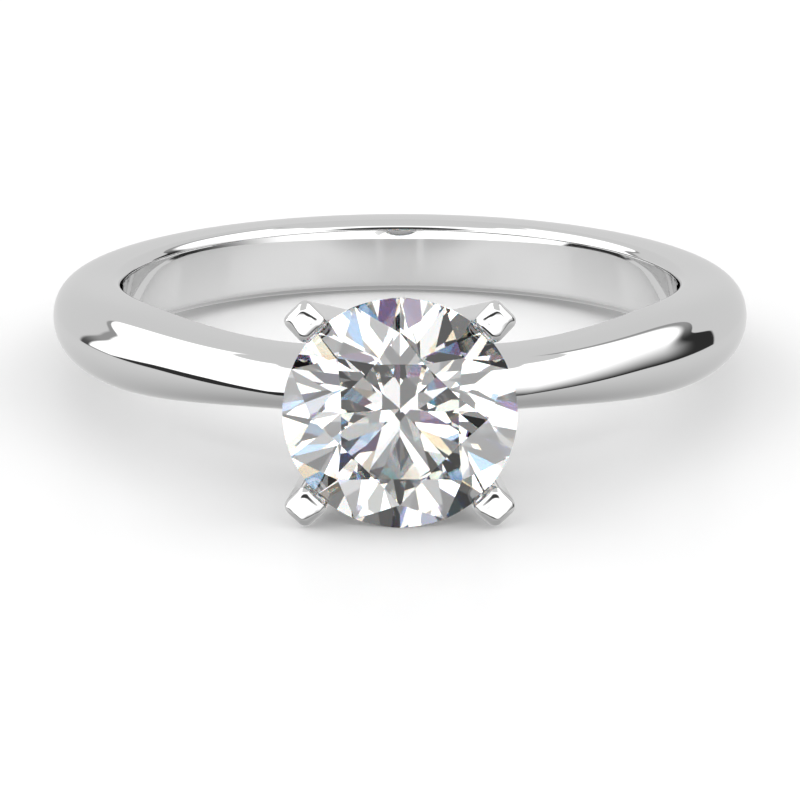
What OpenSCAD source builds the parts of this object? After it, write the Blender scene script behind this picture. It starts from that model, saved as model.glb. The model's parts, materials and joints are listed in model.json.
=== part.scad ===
// Four-claw solitaire engagement ring, at rest on the back of its band and its two lower claws.
// The origin is the centre of the finger hole. The stone faces -Y, and the surface is level.

/* [Finger hole] */
// Inside diameter of the ring
bore_d = 16.5; // [14:0.1:21]
// Radius that eases each inner edge of the band
comfort_r = 0.3; // [0.2:0.02:0.5]

/* [Band] */
// Thickness of the band opposite the stone
back_t = 2.17; // [1.7:0.01:2.6]
// Thickness of the band where it meets the head
head_t = 1.86; // [1.5:0.01:2]
// Width of the band opposite the stone
back_w = 2.2; // [1.9:0.01:2.8]
// Width of the band at its sides
side_w = 2.16; // [1.9:0.01:2.8]
// Width of the band at the swell of its shoulders
shoulder_w = 2.44; // [2.1:0.01:2.9]
// Width of the band where it meets the head
head_w = 1.81; // [1.6:0.01:2]
// How squarely the domed outside meets the rims, where 2 is an ellipse
dome_power = 4; // [2:0.1:4.5]
// How quickly the band thins towards the head, where a low value keeps it full for longer
taper_power = 1.25; // [1:0.05:2]

/* [Stone] */
// Girdle diameter of the round brilliant
stone_d = 6.63; // [6.4:0.01:6.8]
// Distance across the corners of the table, as a share of the diameter
table_share = 0.54; // [0.5:0.01:0.6]
// Slope of the crown mains
crown_angle = 34.5; // [33:0.5:36]
// Slope of the pavilion mains
pavilion_angle = 40.8; // [40:0.1:41.5]
// Height of the girdle where the facets come nearest
girdle_t = 0.12; // [0.12:0.01:0.2]
// How far the star facets reach from the table towards the girdle
star_share = 0.5; // [0.4:0.05:0.6]
// How far the lower girdle facets reach from the girdle towards the culet
lower_share = 0.78; // [0.7:0.01:0.85]
// Distance from the finger hole to the girdle plane
stone_lift = 4.74; // [4.7:0.01:5]

/* [Head] */
// Side of the square claw wire
claw_side = 0.98; // [0.9:0.01:1.02]
// Radius on the corners of the claw wire
claw_corner = 0.12; // [0.08:0.01:0.2]
// Lean of the claws away from the axis of the stone
claw_lean = 22; // [20:0.5:23]
// Radius of the dome on each claw tip
claw_dome = 1; // [0.9:0.05:1.4]
// How far the middle of a claw tip stands outside the girdle
claw_reach = 0.6; // [0.55:0.01:0.64]
// How far a claw tip stands above the girdle plane
claw_rise = 0.46; // [0.4:0.01:0.6]
// Outside diameter of the collet between the shoulders
collet_d = 4.2; // [4:0.05:4.4]
// Wall of the collet
collet_wall = 0.75; // [0.6:0.05:0.9]
// Height of the collet above the top of the finger hole
collet_h = 1.5; // [1.3:0.05:1.6]
// Height of the middle of the gallery rail above the finger hole
rail_lift = 3.05; // [2.95:0.05:3.15]
// Diameter of the gallery rail, through the middle of its wire
rail_d = 5.15; // [5.05:0.05:5.25]
// Diameter of the gallery rail's wire
rail_wire = 0.55; // [0.4:0.05:0.6]

/* [Hidden] */

metal_colour = "gainsboro";
stone_colour = "aliceblue";

bore_r = bore_d / 2;
stone_r = stone_d / 2;
collet_r = collet_d / 2;
collet_flat = sqrt(collet_r * collet_r - head_w * head_w / 4);
girdle_h = bore_r + stone_lift;
round_fn = 96;
cut_margin = 1;

// Bearings along the band run from 0 at the stone to 180 at the back.
head_bearing = 20;
shoulder_bearing = 60;
side_bearing = 100;
first_bearing = 16;
band_steps = 98;
dome_steps = 16;
comfort_angles = [15, 40, 65];
bore_stock = 0.12;
stock_slope = 2.5;

// Claws stand at these bearings round the axis of the stone, from the right of the head.
upper_right = 45;
upper_left = 135;
lower_left = 225;
lower_right = 315;
claw_tip_r = stone_r + claw_reach;
claw_tip_h = girdle_h + claw_rise;
claw_length = (claw_tip_h - bore_r * cos(asin(collet_r / bore_r)) + claw_side) / cos(claw_lean);
seat_gap = 0.01;

// The stone's facets: 8 mains above and below, each between two of the 16 girdle facets.
sector = 45;
half_sector = sector / 2;
quarter_sector = sector / 4;
facet_r = stone_r * 1.003;
rim_r = stone_r * 1.018;
table_r = stone_r * table_share;
star_r = table_r * cos(half_sector) + star_share * (stone_r - table_r * cos(half_sector));
crown_z = girdle_t / 2 + (facet_r - table_r) * tan(crown_angle);
star_z = crown_z - (star_r * cos(half_sector) - table_r) * tan(crown_angle);
meet_r = stone_r * (1 - lower_share);
meet_z = -girdle_t / 2 - (facet_r - meet_r * cos(half_sector)) * tan(pavilion_angle);
culet_z = -girdle_t / 2 - facet_r * tan(pavilion_angle);
upper_rim_z = girdle_t / 2 - (star_z - girdle_t / 2) * (rim_r - facet_r) / (facet_r - star_r);
lower_rim_z = -girdle_t / 2 - (meet_z + girdle_t / 2) * (rim_r - facet_r) / (facet_r - meet_r);

// Band

function blend(a, b, s) = a + (b - a) * s * s * (3 - 2 * s);
function share(b, from, to) = (b - from) / (to - from);
function from_head(bearing) = min(bearing, 360 - bearing);

function width_at(b) =
    b < head_bearing ? head_w :
    b < shoulder_bearing ? blend(head_w, shoulder_w, share(b, head_bearing, shoulder_bearing)) :
    b < side_bearing ? blend(shoulder_w, side_w, share(b, shoulder_bearing, side_bearing)) :
    blend(side_w, back_w, share(b, side_bearing, 180));

function thickness_at(b) = head_t + (back_t - head_t) * pow(sin(b / 2), taper_power);

// A cross section is a loop of points [distance from the bore axis, height along it].
function dome_point(w, t, a) = [
    bore_r + comfort_r + (t - comfort_r) * pow(abs(cos(a)), 2 / dome_power),
    w / 2 * sin(a)
];

function dome(w, t) = [for (i = [0 : dome_steps]) dome_point(w, t, 180 * i / dome_steps - 90)];

function comfort_point(w, a) = [
    bore_r + comfort_r * (1 - cos(a)),
    w / 2 - comfort_r * (1 - sin(a))
];

// Stock left inside the finger hole, so that the bore is cut as one true cylinder.
function stock_point(w) =
    let (edge = comfort_point(w, comfort_angles[0]), r = bore_r - bore_stock)
    [r, edge[1] - stock_slope * (edge[0] - r)];

function inner_edge(w) = concat([stock_point(w)], [for (a = comfort_angles) comfort_point(w, a)]);
function flipped(loop) = [for (p = loop) [p[0], -p[1]]];
function reversed(loop) = [for (i = [len(loop) - 1 : -1 : 0]) loop[i]];
function section(w, t) = concat(dome(w, t), reversed(inner_edge(w)), flipped(inner_edge(w)));
function on_band(bearing, p) = [p[0] * sin(bearing), -p[0] * cos(bearing), p[1]];

// The ends lie in the planes of the flats on the collet, one on each side of the head.
function band_end(side) = [
    for (p = section(head_w, thickness_at(0)))
        [side * collet_flat, -sqrt(p[0] * p[0] - collet_flat * collet_flat), p[1]]
];

module band_blank() {
    rings = [
        for (i = [0 : band_steps])
            let (
                bearing = first_bearing + i * (360 - 2 * first_bearing) / band_steps,
                b = from_head(bearing)
            )
            [for (p = section(width_at(b), thickness_at(b))) on_band(bearing, p)]
    ];
    sections = concat([band_end(1)], rings, [band_end(-1)]);
    n = len(sections[0]);
    last = len(sections) - 1;
    sides = [
        for (i = [0 : last - 1], j = [0 : n - 1])
            let (next = (j + 1) % n)
            [i * n + j, i * n + next, (i + 1) * n + next, (i + 1) * n + j]
    ];
    first_end = [for (j = [n - 1 : -1 : 0]) j];
    last_end = [for (j = [0 : n - 1]) last * n + j];
    polyhedron(points = [for (s = sections) each s], faces = concat(sides, [first_end, last_end]));
}

// Resting pose

// Lowest edge of a lower claw's tip, as points [distance towards the stone, depth below the bore axis].
claw_edge = [
    for (a = [0 : 15 : 90])
        let (
            out = claw_side / 2 - claw_corner * (1 - cos(a)),
            along = claw_side / 2 - claw_corner * (1 - sin(a)),
            drop = claw_dome - sqrt(claw_dome * claw_dome - out * out - along * along),
            r = claw_tip_r - drop * sin(claw_lean) + out * cos(claw_lean),
            h = claw_tip_h - drop * cos(claw_lean) - out * sin(claw_lean)
        )
        [h, (r + along) * sin(45)]
];

girdle_edge = [girdle_h + girdle_t / 2, stone_r];

// Lean of a line that passes under one point of the head and just touches the back of the band.
function lean_under(p) = min([
    for (q = dome(back_w, back_t)) atan((p[1] - q[1]) / (p[0] + q[0]))
]);

rest_tilt = max([for (p = concat(claw_edge, [girdle_edge])) lean_under(p)]);

module at_rest() {
    rotate([-rest_tilt, 0, 0])
        children();
}

// Turns +Z, the axis of the stone, away from the bore towards -Y.
module on_head() {
    rotate([90, 0, 0])
        children();
}

module bore() {
    rotate([0, 0, -90])
        cylinder(r = bore_r, h = 4 * collet_d, center = true, $fn = round_fn);
}

// Stone

function around(r, angle, z) = [r * cos(angle), r * sin(angle), z];
function circlet(r, first, step, z) = [for (a = [first : step : 359]) around(r, a, z)];

module cut_stone() {
    points = concat(
        circlet(table_r, half_sector, sector, crown_z),
        circlet(star_r, 0, sector, star_z),
        circlet(facet_r, half_sector, sector, girdle_t / 2),
        circlet(rim_r, 0, half_sector, upper_rim_z),
        circlet(rim_r, 0, half_sector, lower_rim_z),
        circlet(facet_r, half_sector, sector, -girdle_t / 2),
        circlet(meet_r, 0, sector, meet_z),
        [[0, 0, culet_z]]
    );
    function table(k) = k % 8;
    function star(k) = 8 + k % 8;
    function tip(k) = 16 + k % 8;
    function upper_rim(k) = 24 + k % 16;
    function lower_rim(k) = 40 + k % 16;
    function low_tip(k) = 56 + k % 8;
    function meet(k) = 64 + k % 8;
    culet = 72;
    crown = [
        for (k = [0 : 7]) each [
            [table(k), star(k + 1), table(k + 1)],
            [table(k), star(k), tip(k), star(k + 1)],
            [star(k), upper_rim(2 * k), upper_rim(2 * k + 1), tip(k)],
            [star(k + 1), tip(k), upper_rim(2 * k + 1), upper_rim(2 * k + 2)]
        ]
    ];
    pavilion = [
        for (k = [0 : 7]) each [
            [culet, meet(k + 1), low_tip(k), meet(k)],
            [meet(k), low_tip(k), lower_rim(2 * k + 1), lower_rim(2 * k)],
            [meet(k + 1), lower_rim(2 * k + 2), lower_rim(2 * k + 1), low_tip(k)]
        ]
    ];
    rim = [
        for (k = [0 : 15])
            [upper_rim(k), lower_rim(k), lower_rim(k + 1), upper_rim(k + 1)]
    ];
    table_face = [[for (k = [0 : 7]) table(k)]];
    intersection() {
        polyhedron(points = points, faces = concat(table_face, crown, rim, pavilion));
        cylinder(r = stone_r, h = -4 * culet_z, center = true, $fn = round_fn);
    }
}

// Room for the stone in the claws, following the outermost lines of its facets.
module stone_seat() {
    rotate_extrude($fn = round_fn)
        polygon([
            [0, culet_z - seat_gap],
            [meet_r + seat_gap, meet_z - seat_gap],
            [facet_r + seat_gap, -girdle_t / 2 - seat_gap],
            [facet_r + seat_gap, girdle_t / 2 + seat_gap],
            [star_r + seat_gap, star_z + seat_gap],
            [0, star_z + seat_gap]
        ]);
}

// Head

module wire_outline() {
    inner = claw_side - 2 * claw_corner;
    square([claw_side, inner], center = true);
    square([inner, claw_side], center = true);
    for (x = [-1, 1], y = [-1, 1])
        translate([x * inner / 2, y * inner / 2])
            circle(r = claw_corner, $fn = round_fn);
}

// One claw as straight wire, from its domed tip down through the finger hole.
module claw_wire(bearing) {
    rotate([0, 0, bearing])
        translate([claw_tip_r, 0, claw_tip_h])
            rotate([0, claw_lean, 0])
                difference() {
                    translate([0, 0, -claw_length])
                        linear_extrude(height = claw_length + cut_margin)
                            wire_outline();
                    translate([0, 0, -claw_dome])
                        difference() {
                            cylinder(r = claw_side, h = claw_dome + 2 * cut_margin, $fn = round_fn);
                            sphere(r = claw_dome, $fn = round_fn);
                        }
                }
}

module rail_ring() {
    translate([0, 0, bore_r + rail_lift])
        rotate_extrude($fn = round_fn)
            translate([rail_d / 2, 0])
                circle(d = rail_wire, $fn = round_fn);
}

module claw(bearing) {
    color(metal_colour)
        at_rest()
            difference() {
                on_head()
                    difference() {
                        claw_wire(bearing);
                        rail_ring();
                        translate([0, 0, girdle_h])
                            stone_seat();
                    }
                bore();
            }
}

// Nodes

module shank() {
    color(metal_colour)
        at_rest()
            difference() {
                band_blank();
                bore();
            }
}

module collet() {
    color(metal_colour)
        at_rest()
            difference() {
                on_head()
                    difference() {
                        cylinder(r = collet_r, h = bore_r + collet_h, $fn = round_fn);
                        cylinder(r = collet_r - collet_wall, h = girdle_h, $fn = round_fn);
                        for (side = [-1, 1])
                            translate([side * (collet_flat + collet_r), 0, girdle_h / 2])
                                cube([2 * collet_r, 2 * collet_r, 2 * girdle_h], center = true);
                        for (bearing = [upper_right, upper_left, lower_left, lower_right])
                            claw_wire(bearing);
                    }
                bore();
            }
}

module gallery_rail() {
    color(metal_colour)
        at_rest()
            on_head()
                rail_ring();
}

module diamond() {
    color(stone_colour)
        at_rest()
            on_head()
                translate([0, 0, girdle_h])
                    cut_stone();
}

shank();
collet();
gallery_rail();
claw(upper_left);  // claw_upper_left
claw(upper_right);  // claw_upper_right
claw(lower_left);  // claw_lower_left
claw(lower_right);  // claw_lower_right
diamond();
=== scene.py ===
"""Looks for the four-claw solitaire ring: detailed pieces in place of the CAD part, studio and camera."""
import json
import math

import bmesh
import bpy
import numpy as np
from mathutils import Matrix, Vector


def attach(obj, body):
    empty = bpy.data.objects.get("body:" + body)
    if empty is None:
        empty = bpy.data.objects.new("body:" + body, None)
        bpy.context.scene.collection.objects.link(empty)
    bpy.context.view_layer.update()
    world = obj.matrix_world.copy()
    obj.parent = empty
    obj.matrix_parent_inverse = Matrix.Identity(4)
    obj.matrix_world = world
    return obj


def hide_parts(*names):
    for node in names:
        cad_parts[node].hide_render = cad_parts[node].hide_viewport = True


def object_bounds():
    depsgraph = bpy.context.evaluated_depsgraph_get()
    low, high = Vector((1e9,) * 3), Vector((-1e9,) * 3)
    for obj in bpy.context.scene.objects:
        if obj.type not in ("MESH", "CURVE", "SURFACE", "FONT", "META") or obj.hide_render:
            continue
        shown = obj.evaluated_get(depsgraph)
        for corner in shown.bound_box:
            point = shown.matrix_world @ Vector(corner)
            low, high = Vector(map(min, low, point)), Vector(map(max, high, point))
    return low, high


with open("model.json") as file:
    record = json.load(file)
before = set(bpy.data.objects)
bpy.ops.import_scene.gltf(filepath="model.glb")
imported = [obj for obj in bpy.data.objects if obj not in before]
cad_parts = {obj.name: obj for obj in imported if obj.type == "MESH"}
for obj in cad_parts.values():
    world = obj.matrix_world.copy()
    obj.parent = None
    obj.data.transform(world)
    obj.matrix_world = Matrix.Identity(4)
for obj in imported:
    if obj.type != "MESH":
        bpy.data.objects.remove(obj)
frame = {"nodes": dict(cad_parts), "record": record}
cad_low, cad_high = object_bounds()
scene = bpy.context.scene
MM = 0.001

# ---------------------------------------------------------------- the ring's own frame
# The bore axis is +Z and the stone faces -Y in it. The ring lies on the floor with that axis leaning back.
mount = frame["record"]["mounts"][0]
BORE_R = mount["dims"]["r_mm"] * MM
REST_TILT = math.atan2(mount["axis"][1], mount["axis"][2])
TO_ROW = Matrix.Rotation(-REST_TILT, 4, "X")
TO_RING = TO_ROW.inverted()


def ring_points(node):
    """A CAD node's vertices in the ring's own frame."""
    return np.array([TO_RING @ v.co for v in frame["nodes"][node].data.vertices])


shank_points = ring_points("shank")
stone_points = ring_points("diamond")
rail_points = ring_points("gallery_rail")

# ---------------------------------------------------------------- sizes of the band
COMFORT_R = 0.3 * MM
BACK_T = shank_points[:, 1].max() - BORE_R
HEAD_T = 1.86 * MM
BACK_W = 2.2 * MM
SIDE_W = 2.16 * MM
SHOULDER_W = 2.44 * MM
HEAD_W = 1.81 * MM
HEAD_BEARING, SHOULDER_BEARING, SIDE_BEARING = 20, 60, 100
FIRST_BEARING = 16
BAND_STEPS = 480
DOME_POWER = 4
TAPER_POWER = 1.25

# ---------------------------------------------------------------- sizes of the stone and the head
STONE_R = np.hypot(stone_points[:, 0], stone_points[:, 2]).max()
TABLE_H = -stone_points[:, 1].min()
TABLE_SHARE = 0.54
CROWN_SLOPE = math.tan(math.radians(34.5))
PAVILION_SLOPE = math.tan(math.radians(40.8))
GIRDLE_T = 0.12 * MM
STAR_SHARE = 0.5
LOWER_SHARE = 0.78
# The facet planes pass the edges of the girdle a little outside the stone, which leaves it scalloped.
FACET_R = STONE_R * 1.003
GIRDLE_H = TABLE_H - (FACET_R - STONE_R * TABLE_SHARE) * CROWN_SLOPE - GIRDLE_T / 2

CLAW_SIDE = 0.98 * MM
CLAW_CORNER = 0.24 * MM
CLAW_EASE = 0.3 * MM
CLAW_SINK = 0.06 * MM
CLAW_LEAN = math.radians(22)
CLAW_DOME = 1.6 * MM
# How far the eased edge goes on falling with the dome, as a share of the ease.
EASE_SLIP = 0.12
# Above 1, the rings of a claw's sides crowd towards its tip.
CROWDING = 1.6
SEAT_GAP = 0.01 * MM
CLAW_TIP_R = STONE_R + 0.6 * MM
CLAW_TIP_H = GIRDLE_H + 0.46 * MM
CLAW_BEARINGS = {"upper_right": 45, "upper_left": 135, "lower_left": 225, "lower_right": 315}

COLLET_R = 2.1 * MM
COLLET_WALL = 0.75 * MM
COLLET_EASE = 0.1 * MM
COLLET_TOP = BORE_R + 1.5 * MM
COLLET_FLAT = math.sqrt(COLLET_R**2 - HEAD_W**2 / 4)
RAIL_H = -(rail_points[:, 1].min() + rail_points[:, 1].max()) / 2
RAIL_WIRE_R = (rail_points[:, 1].max() - rail_points[:, 1].min()) / 2
RAIL_R = rail_points[:, 0].max() - RAIL_WIRE_R


# ---------------------------------------------------------------- mesh helpers
def make_piece(name, points, faces, material, node, smooth=True, sharp_angle=None):
    """A mesh from points in the ring's frame, which stands for one CAD node."""
    mesh = bpy.data.meshes.new(name)
    mesh.from_pydata([TO_ROW @ Vector(p) for p in points], [], faces)
    bm = bmesh.new()
    bm.from_mesh(mesh)
    bmesh.ops.recalc_face_normals(bm, faces=bm.faces)
    bm.to_mesh(mesh)
    bm.free()
    if smooth:
        mesh.shade_smooth()
    else:
        mesh.shade_flat()
    if sharp_angle:
        mesh.set_sharp_from_angle(angle=math.radians(sharp_angle))
    piece = bpy.data.objects.new(name, mesh)
    scene.collection.objects.link(piece)
    mesh.materials.append(material)
    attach(piece, "root")
    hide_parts(node)
    return piece


def loft_faces(rings, n, closed_rings=True, closed_loft=False):
    """Quads between neighbouring rings of n points each."""
    faces = []
    for i in range(rings if closed_loft else rings - 1):
        for j in range(n if closed_rings else n - 1):
            a, b = i * n + j, i * n + (j + 1) % n
            c, d = ((i + 1) % rings) * n + (j + 1) % n, ((i + 1) % rings) * n + j
            faces.append((a, b, c, d))
    return faces


def head_point(x, y, h):
    """A point given across the head and along the axis of the stone, in the ring's frame."""
    return (x, -h, y)


# ---------------------------------------------------------------- materials
METAL_LEVEL = 0.72
EDGE_LEVEL = 0.95
METAL_ROUGHNESS = 0.03
GLOSS_CHANGE = 0.3
POLISH_SCALE = 900
POLISH_DETAIL = 3
CLOUD_LOW, CLOUD_HIGH = 0.3, 0.7
# Each share of the light with its refractive index. The shares add up to white.
DIAMOND_BENDS = (
    ((0.91, 0.82, 0.68), 2.418),
    ((0.00, 0.14, 0.21), 2.465),
    ((0.09, 0.04, 0.11), 2.51),
)


def new_material(name):
    """An empty node material, with its nodes and links."""
    material = bpy.data.materials.new(name)
    material.use_nodes = True
    material.node_tree.nodes.clear()
    return material, material.node_tree.nodes, material.node_tree.links


def polished_metal(name, level, roughness, polish_scale):
    """White precious metal with a mirror polish, whose gloss changes slightly from place to place."""
    material, nodes, links = new_material(name)
    out = nodes.new("ShaderNodeOutputMaterial")
    shader = nodes.new("ShaderNodeBsdfPrincipled")
    shader.inputs["Base Color"].default_value = (level, level, level, 1)
    shader.inputs["Metallic"].default_value = 1
    shader.inputs["Specular Tint"].default_value = (EDGE_LEVEL, EDGE_LEVEL, EDGE_LEVEL, 1)
    where = nodes.new("ShaderNodeTexCoord")
    cloud = nodes.new("ShaderNodeTexNoise")
    cloud.inputs["Scale"].default_value = polish_scale
    cloud.inputs["Detail"].default_value = POLISH_DETAIL
    gloss = nodes.new("ShaderNodeMapRange")
    gloss.inputs["From Min"].default_value = CLOUD_LOW
    gloss.inputs["From Max"].default_value = CLOUD_HIGH
    gloss.inputs["To Min"].default_value = roughness * (1 - GLOSS_CHANGE)
    gloss.inputs["To Max"].default_value = roughness * (1 + GLOSS_CHANGE)
    links.new(where.outputs["Object"], cloud.inputs["Vector"])
    links.new(cloud.outputs["Fac"], gloss.inputs["Value"])
    links.new(gloss.outputs["Result"], shader.inputs["Roughness"])
    links.new(shader.outputs["BSDF"], out.inputs["Surface"])
    return material


def diamond_material(name, bends):
    """Colourless stone with fire: most of the light bends by the usual index, and some of it more."""
    material, nodes, links = new_material(name)
    out = nodes.new("ShaderNodeOutputMaterial")
    total = None
    for colour, index in bends:
        glass = nodes.new("ShaderNodeBsdfGlass")
        glass.inputs["Color"].default_value = (*colour, 1)
        glass.inputs["Roughness"].default_value = 0
        glass.inputs["IOR"].default_value = index
        if total is None:
            total = glass
            continue
        both = nodes.new("ShaderNodeAddShader")
        links.new(total.outputs[0], both.inputs[0])
        links.new(glass.outputs[0], both.inputs[1])
        total = both
    links.new(total.outputs[0], out.inputs["Surface"])
    return material


platinum = polished_metal("platinum", METAL_LEVEL, METAL_ROUGHNESS, POLISH_SCALE)
diamond_glass = diamond_material("diamond", DIAMOND_BENDS)


# ---------------------------------------------------------------- band
def blend(a, b, s):
    """Smoothly from a to b as s goes from 0 to 1."""
    s = min(max(s, 0), 1)
    return a + (b - a) * s * s * (3 - 2 * s)


def band_width(b):
    """Width at a bearing in degrees from the head, 0 to 180."""
    if b < SHOULDER_BEARING:
        return blend(HEAD_W, SHOULDER_W, (b - HEAD_BEARING) / (SHOULDER_BEARING - HEAD_BEARING))
    if b < SIDE_BEARING:
        return blend(SHOULDER_W, SIDE_W, (b - SHOULDER_BEARING) / (SIDE_BEARING - SHOULDER_BEARING))
    return blend(SIDE_W, BACK_W, (b - SIDE_BEARING) / (180 - SIDE_BEARING))


def band_thickness(b):
    """Thickness at the same bearing."""
    return HEAD_T + (BACK_T - HEAD_T) * math.sin(math.radians(b / 2)) ** TAPER_POWER


def band_section(w, t, dome_steps=72, edge_steps=14, flat_steps=6):
    """A closed loop of (distance from the bore axis, height along it)."""
    loop = []
    for i in range(dome_steps + 1):
        a = math.pi * (i / dome_steps - 0.5)
        out = abs(math.cos(a)) ** (2 / DOME_POWER)
        up = math.sin(a)
        loop.append((BORE_R + COMFORT_R + (t - COMFORT_R) * out, w / 2 * up))
    edge = w / 2 - COMFORT_R
    for i in range(1, edge_steps + 1):
        a = math.pi / 2 * i / edge_steps
        loop.append((BORE_R + COMFORT_R * (1 - math.sin(a)), edge + COMFORT_R * math.cos(a)))
    for i in range(1, flat_steps):
        loop.append((BORE_R, edge * (1 - 2 * i / flat_steps)))
    for i in range(edge_steps, 0, -1):
        a = math.pi / 2 * i / edge_steps
        loop.append((BORE_R + COMFORT_R * (1 - math.sin(a)), -edge - COMFORT_R * math.cos(a)))
    return loop


def make_band():
    """The shank: flat ends against the collet, and sections all the way round between them."""
    loop = band_section(HEAD_W, band_thickness(0))
    n = len(loop)
    end = [(COLLET_FLAT, -math.sqrt(r * r - COLLET_FLAT**2), u) for r, u in loop]
    points = list(end)
    for i in range(BAND_STEPS + 1):
        bearing = FIRST_BEARING + i * (360 - 2 * FIRST_BEARING) / BAND_STEPS
        b = min(bearing, 360 - bearing)
        a = math.radians(bearing)
        section = band_section(band_width(b), band_thickness(b))
        points += [(r * math.sin(a), -r * math.cos(a), u) for r, u in section]
    points += [(-x, y, u) for x, y, u in end]
    rings = BAND_STEPS + 3
    faces = loft_faces(rings, n)
    faces += [tuple(range(n))[::-1], tuple((rings - 1) * n + j for j in range(n))]
    return make_piece("band", points, faces, platinum, "shank", sharp_angle=50)


# ---------------------------------------------------------------- stone
def make_stone():
    """A round blank, cut by one plane for each facet, as a cutter does."""
    table_r = STONE_R * TABLE_SHARE
    half, quarter = math.radians(22.5), math.radians(11.25)
    table_flat = table_r * math.cos(half)
    star_r = table_flat + STAR_SHARE * (STONE_R - table_flat)
    crown_z = GIRDLE_T / 2 + (FACET_R - table_r) * CROWN_SLOPE
    star_z = crown_z - (star_r * math.cos(half) - table_r) * CROWN_SLOPE
    meet_r = STONE_R * (1 - LOWER_SHARE)
    meet_z = GIRDLE_T / 2 + (FACET_R - meet_r * math.cos(half)) * PAVILION_SLOPE
    upper_slope = (star_z - GIRDLE_T / 2) / ((FACET_R - star_r) * math.cos(quarter))
    lower_slope = (meet_z - GIRDLE_T / 2) / ((FACET_R - meet_r) * math.cos(quarter))
    star_slope = (crown_z - star_z) / (star_r - table_flat)
    bm = bmesh.new()
    bmesh.ops.create_cone(
        bm, cap_ends=True, segments=256, radius1=STONE_R, radius2=STONE_R, depth=3 * STONE_R
    )

    def cut(bearing, distance, slope, z, side):
        """Keeps what is under a facet that slopes away from the axis, through (distance, z)."""
        normal = Vector((slope * math.cos(bearing), slope * math.sin(bearing), side))
        point = Vector((distance * math.cos(bearing), distance * math.sin(bearing), side * z))
        got = bmesh.ops.bisect_plane(
            bm, geom=bm.verts[:] + bm.edges[:] + bm.faces[:], dist=1e-8,
            plane_co=point, plane_no=normal.normalized(), clear_outer=True,
        )
        edges = [e for e in got["geom_cut"] if isinstance(e, bmesh.types.BMEdge)]
        bmesh.ops.edgeloop_fill(bm, edges=edges)

    cut(0, 0, 0, crown_z, 1)
    for k in range(8):
        main, point = math.radians(45 * k + 22.5), math.radians(45 * k)
        cut(main, FACET_R, CROWN_SLOPE, GIRDLE_T / 2, 1)
        cut(main, FACET_R, PAVILION_SLOPE, GIRDLE_T / 2, -1)
        cut(point, star_r, star_slope, star_z, 1)
        for turn in (quarter, -quarter):
            cut(point + turn, FACET_R * math.cos(quarter), upper_slope, GIRDLE_T / 2, 1)
            cut(point + turn, FACET_R * math.cos(quarter), lower_slope, GIRDLE_T / 2, -1)
    bmesh.ops.remove_doubles(bm, verts=bm.verts, dist=1e-8)
    points = [head_point(v.co.x, v.co.y, v.co.z + GIRDLE_H) for v in bm.verts]
    bm.verts.index_update()
    faces = [tuple(v.index for v in f.verts) for f in bm.faces]
    bm.free()
    return make_piece("brilliant", points, faces, diamond_glass, "diamond", smooth=False)


# ---------------------------------------------------------------- head
def rounded_square(side, corner, steps):
    """Points round a square with eased corners, as (outwards, along)."""
    loop = []
    flat = side / 2 - corner
    for quadrant in range(4):
        for i in range(steps + 1):
            a = math.pi / 2 * (quadrant + i / steps)
            sx = 1 if quadrant in (0, 3) else -1
            sy = 1 if quadrant in (0, 1) else -1
            loop.append((sx * flat + corner * math.cos(a), sy * flat + corner * math.sin(a)))
        corners = [(-flat, side / 2), (-side / 2, -flat), (flat, -side / 2), (side / 2, flat)]
        following = corners[quadrant]
        last = loop[-1]
        flat_steps = 10
        for i in range(1, flat_steps):
            s = i / flat_steps
            across = last[0] + (following[0] - last[0]) * s
            along = last[1] + (following[1] - last[1]) * s
            loop.append((across, along))
    return loop


def seat_radius(z):
    """Radius of the stone on the line of its girdle facet tips, at a height above the girdle plane."""
    half = math.radians(22.5)
    table_flat = STONE_R * TABLE_SHARE * math.cos(half)
    star_r = table_flat + STAR_SHARE * (STONE_R - table_flat)
    crown_z = GIRDLE_T / 2 + (FACET_R - STONE_R * TABLE_SHARE) * CROWN_SLOPE
    star_z = crown_z - (star_r * math.cos(half) - STONE_R * TABLE_SHARE) * CROWN_SLOPE
    meet_r = STONE_R * (1 - LOWER_SHARE)
    meet_z = -GIRDLE_T / 2 - (FACET_R - meet_r * math.cos(half)) * PAVILION_SLOPE
    zs = [meet_z, -GIRDLE_T / 2, GIRDLE_T / 2, star_z]
    rs = [meet_r, FACET_R, FACET_R, star_r]
    if z < zs[0] or z > zs[-1]:
        return 0
    return float(np.interp(z, zs, rs)) + SEAT_GAP


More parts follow.
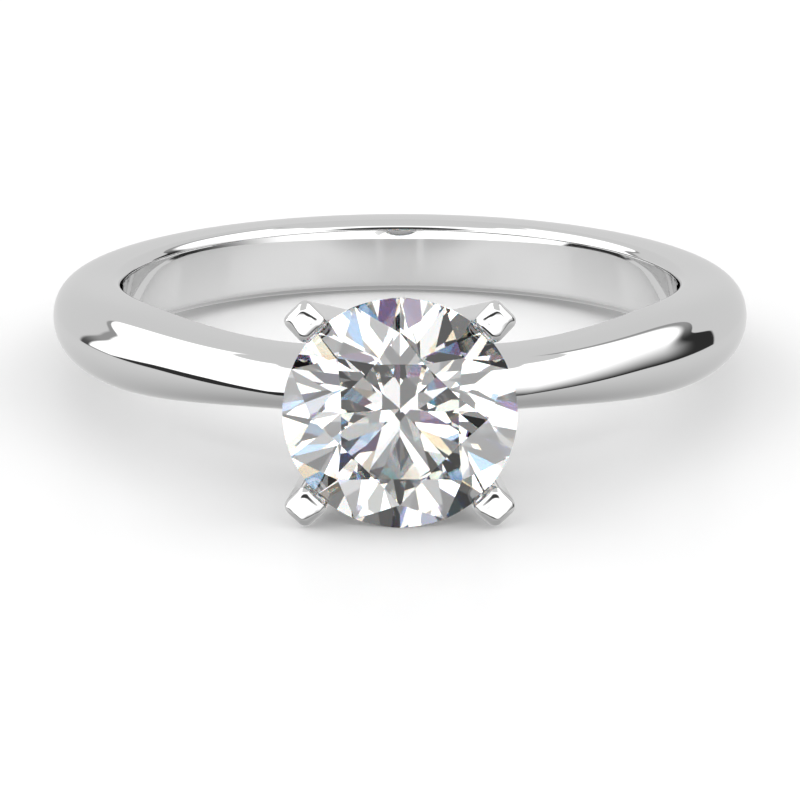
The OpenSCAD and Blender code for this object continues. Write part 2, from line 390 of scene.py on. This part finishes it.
def make_claw(place, bearing):
    """Square wire from the finger hole to a pillowed tip, with a notch cut back to the stone."""
    a = math.radians(bearing)
    out_axis = Vector((math.cos(a), math.sin(a), 0))
    along_axis = Vector((-math.sin(a), math.cos(a), 0))
    tip = out_axis * CLAW_TIP_R + Vector((0, 0, CLAW_TIP_H))
    up = out_axis * math.sin(CLAW_LEAN) + Vector((0, 0, math.cos(CLAW_LEAN)))
    across = out_axis * math.cos(CLAW_LEAN) - Vector((0, 0, math.sin(CLAW_LEAN)))
    corner_steps, ease_steps, cap_steps, length_steps = 12, 10, 12, 150
    outline = rounded_square(CLAW_SIDE, CLAW_CORNER, corner_steps)
    n = len(outline)
    ease = CLAW_EASE

    def at(out, along, depth):
        return tip + across * out + along_axis * along - up * depth

    def dome_drop(out, along):
        """Depth of the pillowed tip, whose middle faces the way the stone does."""
        pillow = CLAW_DOME - math.sqrt(CLAW_DOME**2 - out * out - along * along)
        return CLAW_SINK + pillow - out * math.tan(CLAW_LEAN)

    def foot_depth(out, along):
        """Depth at which a line down the claw meets the finger hole."""
        start = at(out, along, 0)
        # The finger hole lies along the head's y axis, so its wall is where x^2 + z^2 = BORE_R^2.
        square = up.x**2 + up.z**2
        linear = -2 * (start.x * up.x + start.z * up.z)
        constant = start.x**2 + start.z**2 - BORE_R**2
        return (-linear - math.sqrt(linear * linear - 4 * square * constant)) / (2 * square)

    rings = []
    # cap, from its middle out to the start of the eased edge
    inner = 1 - 2 * ease / CLAW_SIDE
    for i in range(1, cap_steps + 1):
        s = inner * i / cap_steps
        rings.append([(o * s, l * s, dome_drop(o * s, l * s)) for o, l in outline])
    # eased edge
    for i in range(1, ease_steps + 1):
        t = math.pi / 2 * i / ease_steps
        s = inner + (1 - inner) * math.sin(t)
        fall = ease * (1 - math.cos(t) + EASE_SLIP * math.sin(t))
        rings.append([(o * s, l * s, dome_drop(o * inner, l * inner) + fall) for o, l in outline])
    edge = rings[-1]
    # straight sides, denser by the girdle
    for i in range(1, length_steps + 1):
        s = (i / length_steps) ** CROWDING
        rings.append([(o, l, d + (foot_depth(o, l) - d) * s) for o, l, d in edge])
    foot = rings[-1]
    for s in (0.75, 0.5, 0.25):
        rings.append([(o * s, l * s, foot_depth(o * s, l * s)) for o, l, d in foot])

    def notched(p):
        r, z = math.hypot(p.x, p.y), p.z - GIRDLE_H
        seat = seat_radius(z)
        if 0 < r < seat:
            return Vector((p.x * seat / r, p.y * seat / r, p.z))
        return p

    points = [notched(at(*q)) for ring in rings for q in ring]
    faces = loft_faces(len(rings), n)
    points.append(at(0, 0, CLAW_SINK))
    faces += [(len(points) - 1, j, (j + 1) % n) for j in range(n)]
    points.append(at(0, 0, foot_depth(0, 0)))
    base = (len(rings) - 1) * n
    faces += [(len(points) - 1, base + (j + 1) % n, base + j) for j in range(n)]
    points = [head_point(p.x, p.y, p.z) for p in points]
    return make_piece("prong_" + place, points, faces, platinum, "claw_" + place, sharp_angle=40)


def make_rail():
    """Round wire that ties the claws together under the stone."""
    turns, wire = 192, 40
    points = []
    for i in range(turns):
        a = 2 * math.pi * i / turns
        for j in range(wire):
            b = 2 * math.pi * j / wire
            r = RAIL_R + RAIL_WIRE_R * math.cos(b)
            points.append(head_point(r * math.cos(a), r * math.sin(a), RAIL_H + RAIL_WIRE_R * math.sin(b)))
    faces = loft_faces(turns, wire, closed_loft=True)
    return make_piece("gallery_wire", points, faces, platinum, "gallery_rail")


def make_collet():
    """A short tube between the shoulders, with two flats and eased rims, hollowed to the finger hole."""
    turns, ease, ease_steps, wall_steps = 256, COLLET_EASE, 8, 24
    inner_r = COLLET_R - COLLET_WALL
    points = []
    for i in range(turns):
        a = 2 * math.pi * i / turns
        flat_r = COLLET_FLAT / max(abs(math.cos(a)), 1e-9)
        outer_r = min(COLLET_R, flat_r)

        def floor_h(r):
            return math.sqrt(BORE_R**2 - (r * math.cos(a)) ** 2)

        profile = []
        for j in range(wall_steps):
            low, top = floor_h(outer_r) + ease, COLLET_TOP - ease
            profile.append((outer_r, low + (top - low) * j / wall_steps))
        for j in range(ease_steps + 1):
            t = math.pi / 2 * j / ease_steps
            profile.append((outer_r - ease + ease * math.cos(t), COLLET_TOP - ease + ease * math.sin(t)))
        for j in range(ease_steps + 1):
            t = math.pi / 2 * j / ease_steps
            profile.append((inner_r + ease - ease * math.sin(t), COLLET_TOP - ease + ease * math.cos(t)))
        for j in range(1, wall_steps):
            top, low = COLLET_TOP - ease, floor_h(inner_r) + ease
            profile.append((inner_r, top + (low - top) * j / wall_steps))
        for j in range(ease_steps + 1):
            t = math.pi / 2 * j / ease_steps
            r = inner_r + ease - ease * math.cos(t)
            profile.append((r, floor_h(r) + ease * (1 - math.sin(t))))
        for j in range(ease_steps + 1):
            t = math.pi / 2 * j / ease_steps
            r = outer_r - ease + ease * math.sin(t)
            profile.append((r, floor_h(r) + ease * (1 - math.cos(t))))
        points += [head_point(r * math.cos(a), r * math.sin(a), h) for r, h in profile]
        n = len(profile)
    faces = loft_faces(turns, n, closed_loft=True)
    return make_piece("collet_tube", points, faces, platinum, "collet", sharp_angle=50)


make_band()
make_stone()
for place, bearing in CLAW_BEARINGS.items():
    make_claw(place, bearing)
make_rail()
make_collet()

# ---------------------------------------------------------------- studio
FLOOR_SIZE = 3.0
# The finger hole's patch is darker than the floor and seen only in reflections: painted shade on the band's
# inner wall.
FLOOR_LEVEL, HOLE_REFLECTION_SHADE_LEVEL = 0.93, 0.81
CARD_ROUGHNESS, CARD_GLOSS = 0.35, 0.3
HOLE_PATCH_R = 0.97 * BORE_R
PATCH_LIFT = 0.01 * MM


def white_board(name, level):
    """Smooth white card."""
    material, nodes, links = new_material(name)
    out = nodes.new("ShaderNodeOutputMaterial")
    shader = nodes.new("ShaderNodeBsdfPrincipled")
    shader.inputs["Base Color"].default_value = (level, level, level, 1)
    shader.inputs["Roughness"].default_value = CARD_ROUGHNESS
    shader.inputs["Specular IOR Level"].default_value = CARD_GLOSS
    links.new(shader.outputs["BSDF"], out.inputs["Surface"])
    return material


def make_floor():
    """A white sweep. Metal and stone meet the light tent instead of it, except inside the finger hole, where
    they meet a copy of the floor that only reflections see and that is darker than the floor: painted shade
    in the reflection.
    """
    bpy.ops.mesh.primitive_plane_add(size=FLOOR_SIZE, location=(0, 0, cad_low.z))
    floor = bpy.context.object
    floor.name = "studio_floor"
    floor.visible_glossy = False
    floor.visible_transmission = False
    floor.data.materials.append(white_board("studio_floor", FLOOR_LEVEL))
    # Patch in the finger hole, seen only by glossy rays, with a darker level than the floor: painted shade
    # in the reflection.
    bpy.ops.mesh.primitive_circle_add(
        vertices=64, radius=HOLE_PATCH_R, fill_type="NGON", location=(0, 0, cad_low.z + PATCH_LIFT)
    )
    patch = bpy.context.object
    patch.name = "shaded_floor_in_hole"
    patch.visible_camera = False
    patch.visible_diffuse = False
    patch.visible_transmission = False
    patch.visible_shadow = False
    patch.data.materials.append(white_board("shaded_floor_in_hole", HOLE_REFLECTION_SHADE_LEVEL))


make_floor()


class Sums:
    """Arithmetic on shader sockets: every method adds one Math node and returns its output."""

    def __init__(self, tree):
        self.tree = tree

    def node(self, kind, *inputs):
        node = self.tree.nodes.new("ShaderNodeMath")
        node.operation = kind
        for socket, value in zip(node.inputs, inputs):
            if isinstance(value, (int, float)):
                socket.default_value = value
            else:
                self.tree.links.new(value, socket)
        return node.outputs[0]

    def add(self, a, b):
        return self.node("ADD", a, b)

    def less(self, a, b):
        return self.node("SUBTRACT", a, b)

    def times(self, a, b):
        return self.node("MULTIPLY", a, b)

    def over(self, a, b):
        return self.node("DIVIDE", a, b)

    def ramp(self, value, low, high, start=0.0, end=1.0, kind="SMOOTHSTEP"):
        """From start to end while value goes from low to high. The limits may be sockets."""
        node = self.tree.nodes.new("ShaderNodeMapRange")
        node.interpolation_type = kind
        for name, limit in (("From Min", low), ("From Max", high), ("To Min", start), ("To Max", end)):
            if isinstance(limit, (int, float)):
                node.inputs[name].default_value = limit
            else:
                self.tree.links.new(limit, node.inputs[name])
        self.tree.links.new(value, node.inputs["Value"])
        return node.outputs["Result"]

    def mix(self, a, b, share):
        """a where share is 0, b where it is 1."""
        return self.add(a, self.times(self.less(b, a), share))


# The light tent, in degrees. Azimuth 0 is the camera's side and grows to the right. Strengths are radiances.
# Four numbers in brackets are low, high, start and end: the value goes from start to end while an angle goes
# from low to high. Two in brackets are the low and high of a blend.
TENT = 1.0
SOFTBOX = 2.2
DARK = 0.045
TOP_BORDER = (45, 75, 50, 61)
LEDGE, LEDGE_DIP, LEDGE_POWER = -13, 29, 1.8
LEDGE_BORDER = (45, 90, 1, 0)
LEFT_EDGE = -110
LEFT_UPPER_BORDER = (14, 32, 0, 28)
LEFT_LOWER_BORDER = (-14, 6, 12, 0)
LEFT_RIM_LEVELS = (-12, 2, 0.12, 0.5)
LEFT_RIM_SOFTNESS = 2.5
LEFT_RIM_WIDTHS = (22, 32, 8, 0.5)
RIGHT_BORDER = (3, 43, 95, 130)
FLAG_WIDTHS = (0, 15, 30, 16)
FLAG_LEVELS = (8, 30, DARK, 0.5)
FLAG_FADE = (0, 0.62)
FLAG_END = (0.98, 1.04)
GAP_END, GAP_SLOPE, GAP_LEAST, GAP_MOST = 112, 0.25, 0.8, 12
LEFT_GAP_SOFTNESS = 0.7
RIGHT_FADE = (2, 34, 0, 1)
MIDDLE = 20
TOP_SOFTNESS = 0.6
LEFT_END_SOFTNESS = 1.5
LEDGE_SOFTNESS = 0.4
TABLE_LEVELS = (-66, -18, 0.6, 1.02)
CARD, CARD_HEIGHT, CARD_HALF_WIDTH, CARD_HALF_RISE = 0.08, 21, 30, 15
CARD_EDGE = (0.6, 1.6)

# The stone's own panels.
PANEL_SCALE = 7
PANEL_SEED = 8.8
# How bright the panels get, as pairs of (share of the panels, strength).
PANEL_LEVELS = ((0, 0.03), (0.3, 0.12), (0.5, 0.6), (0.52, 1.5), (1, 3))


def stone_panels(tree, m, direction):
    """Strength of a patchwork of bright and dark panels, which only rays from the sharp facets meet."""
    cells = tree.nodes.new("ShaderNodeTexVoronoi")
    cells.voronoi_dimensions = "4D"
    cells.inputs["Scale"].default_value = PANEL_SCALE
    cells.inputs["W"].default_value = PANEL_SEED
    tree.links.new(direction, cells.inputs["Vector"])
    pick = tree.nodes.new("ShaderNodeSeparateColor")
    tree.links.new(cells.outputs["Color"], pick.inputs["Color"])
    share = pick.outputs["Red"]
    level = PANEL_LEVELS[0][1]
    for (low, start), (high, end) in zip(PANEL_LEVELS, PANEL_LEVELS[1:]):
        level = m.add(level, m.ramp(share, low, high, 0, end - start, "LINEAR"))
    return level


def make_world():
    """A pale tent: a softbox round the front and top, a dark gap, a black flag, and panels for the stone."""
    world = bpy.data.worlds.new("light_tent")
    scene.world = world
    world.use_nodes = True
    tree = world.node_tree
    tree.nodes.clear()
    out = tree.nodes.new("ShaderNodeOutputWorld")
    light = tree.nodes.new("ShaderNodeBackground")
    where = tree.nodes.new("ShaderNodeTexCoord")
    split = tree.nodes.new("ShaderNodeSeparateXYZ")
    tree.links.new(where.outputs["Generated"], split.inputs[0])
    m = Sums(tree)
    x, y, z = split.outputs
    azimuth = m.node("DEGREES", m.node("ARCTAN2", x, m.times(y, -1)))
    height = m.node("DEGREES", m.node("ARCSINE", z))
    turn = m.node("ABSOLUTE", azimuth)

    # softbox: its four borders
    top = m.ramp(turn, *TOP_BORDER)
    dip = m.node("POWER", m.ramp(turn, *LEDGE_BORDER, "LINEAR"), LEDGE_POWER)
    ledge = m.less(LEDGE, m.times(LEDGE_DIP, dip))
    outwards = m.add(m.ramp(height, *LEFT_UPPER_BORDER), m.ramp(height, *LEFT_LOWER_BORDER))
    left = m.less(LEFT_EDGE, outwards)
    right = m.ramp(height, *RIGHT_BORDER)
    flag_width = m.ramp(height, *FLAG_WIDTHS)

    # above the ledge: the gap under the softbox is a thin line on the left and a wide fade on the right
    gap = m.node("MAXIMUM", m.times(m.less(GAP_END, turn), GAP_SLOPE), GAP_LEAST)
    gap = m.node("MINIMUM", gap, GAP_MOST)
    rise = m.less(height, ledge)
    lit_left = m.ramp(m.less(rise, gap), -LEFT_GAP_SOFTNESS, LEFT_GAP_SOFTNESS)
    lit_right = m.ramp(rise, *RIGHT_FADE, "LINEAR")
    lit = m.mix(lit_left, lit_right, m.ramp(azimuth, -MIDDLE, MIDDLE))
    box = m.mix(DARK, SOFTBOX, lit)

    # left end: a soft grey border. right end: a fade into the flag
    past_left = m.less(left, azimuth)
    box = m.mix(box, m.ramp(height, *LEFT_RIM_LEVELS), m.ramp(past_left, 0, LEFT_RIM_SOFTNESS))
    beyond = m.less(past_left, m.ramp(height, *LEFT_RIM_WIDTHS))
    box = m.mix(box, TENT, m.ramp(beyond, -LEFT_END_SOFTNESS, LEFT_END_SOFTNESS))
    past_right = m.over(m.less(azimuth, right), flag_width)
    box = m.mix(box, m.ramp(height, *FLAG_LEVELS), m.ramp(past_right, *FLAG_FADE))
    box = m.mix(box, TENT, m.ramp(past_right, *FLAG_END))
    above = m.mix(box, TENT, m.ramp(m.less(height, top), -TOP_SOFTNESS, TOP_SOFTNESS))

    # below the ledge: the white table, darker straight down
    table = m.ramp(height, *TABLE_LEVELS, "LINEAR")
    total = m.mix(table, above, m.ramp(rise, -LEDGE_SOFTNESS, LEDGE_SOFTNESS))

    # the dark card round the camera
    card = m.add(
        m.node("POWER", m.over(azimuth, CARD_HALF_WIDTH), 2),
        m.node("POWER", m.over(m.less(height, CARD_HEIGHT), CARD_HALF_RISE), 2),
    )
    total = m.mix(CARD, total, m.ramp(card, *CARD_EDGE))

    # the stone's panels take the tent's place for rays that left a perfectly sharp surface
    singular = tree.nodes.new("ShaderNodeLightPath").outputs["Is Singular Ray"]
    total = m.mix(total, stone_panels(tree, m, where.outputs["Generated"]), singular)
    tree.links.new(total, light.inputs["Strength"])
    tree.links.new(light.outputs["Background"], out.inputs["Surface"])


make_world()

# ---------------------------------------------------------------- camera
SENSOR_MM, LENS_MM = 36, 364.1
CLIP_START, CLIP_END = 0.01, 20
CAMERA_DISTANCE = 0.2408
CAMERA_RISE = math.radians(12.43) + REST_TILT
CAMERA_PITCH = math.radians(13.04) + REST_TILT
camera_data = bpy.data.cameras.new("camera")
camera_data.sensor_width = SENSOR_MM
camera_data.lens = LENS_MM
camera_data.clip_start = CLIP_START
camera_data.clip_end = CLIP_END
camera = bpy.data.objects.new("camera", camera_data)
camera.location = CAMERA_DISTANCE * Vector((0, -math.cos(CAMERA_RISE), math.sin(CAMERA_RISE)))
camera.rotation_euler = (math.pi / 2 - CAMERA_PITCH, 0, 0)
scene.collection.objects.link(camera)
scene.camera = camera
scene.view_settings.view_transform = "Standard"
